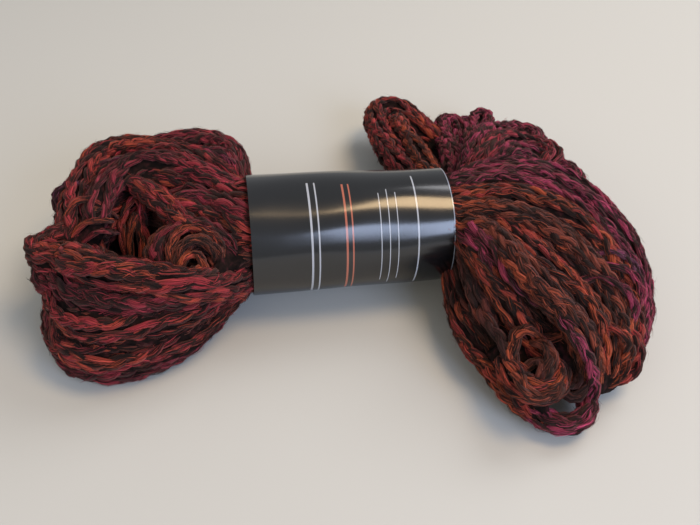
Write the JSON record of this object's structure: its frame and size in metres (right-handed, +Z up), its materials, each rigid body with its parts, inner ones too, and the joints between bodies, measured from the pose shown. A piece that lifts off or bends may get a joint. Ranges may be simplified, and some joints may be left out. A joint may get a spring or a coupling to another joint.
{
  "type": "hank of yarn",
  "caption": "Wound hank of thick variegated chain yarn, gathered at its waist by a paper band, with a round bun on one side and a bent fan of loops on the other.",
  "frame": {"origin": "under the middle of the whole hank, on the surface that it lies on", "axes": "+X along the band from the bun to the fan, +Y to the back, +Z up"},
  "size_m": [0.2182, 0.1859, 0.0485],
  "materials": {
    "chain_yarn": "fuzzy wool blend, red, orange, magenta and dark brown",
    "coated_paper": "black coated paper, semi-gloss"
  },
  "bodies": {
    "root": {"hank": "chain_yarn", "band": "coated_paper"}
  },
  "joints": []
}
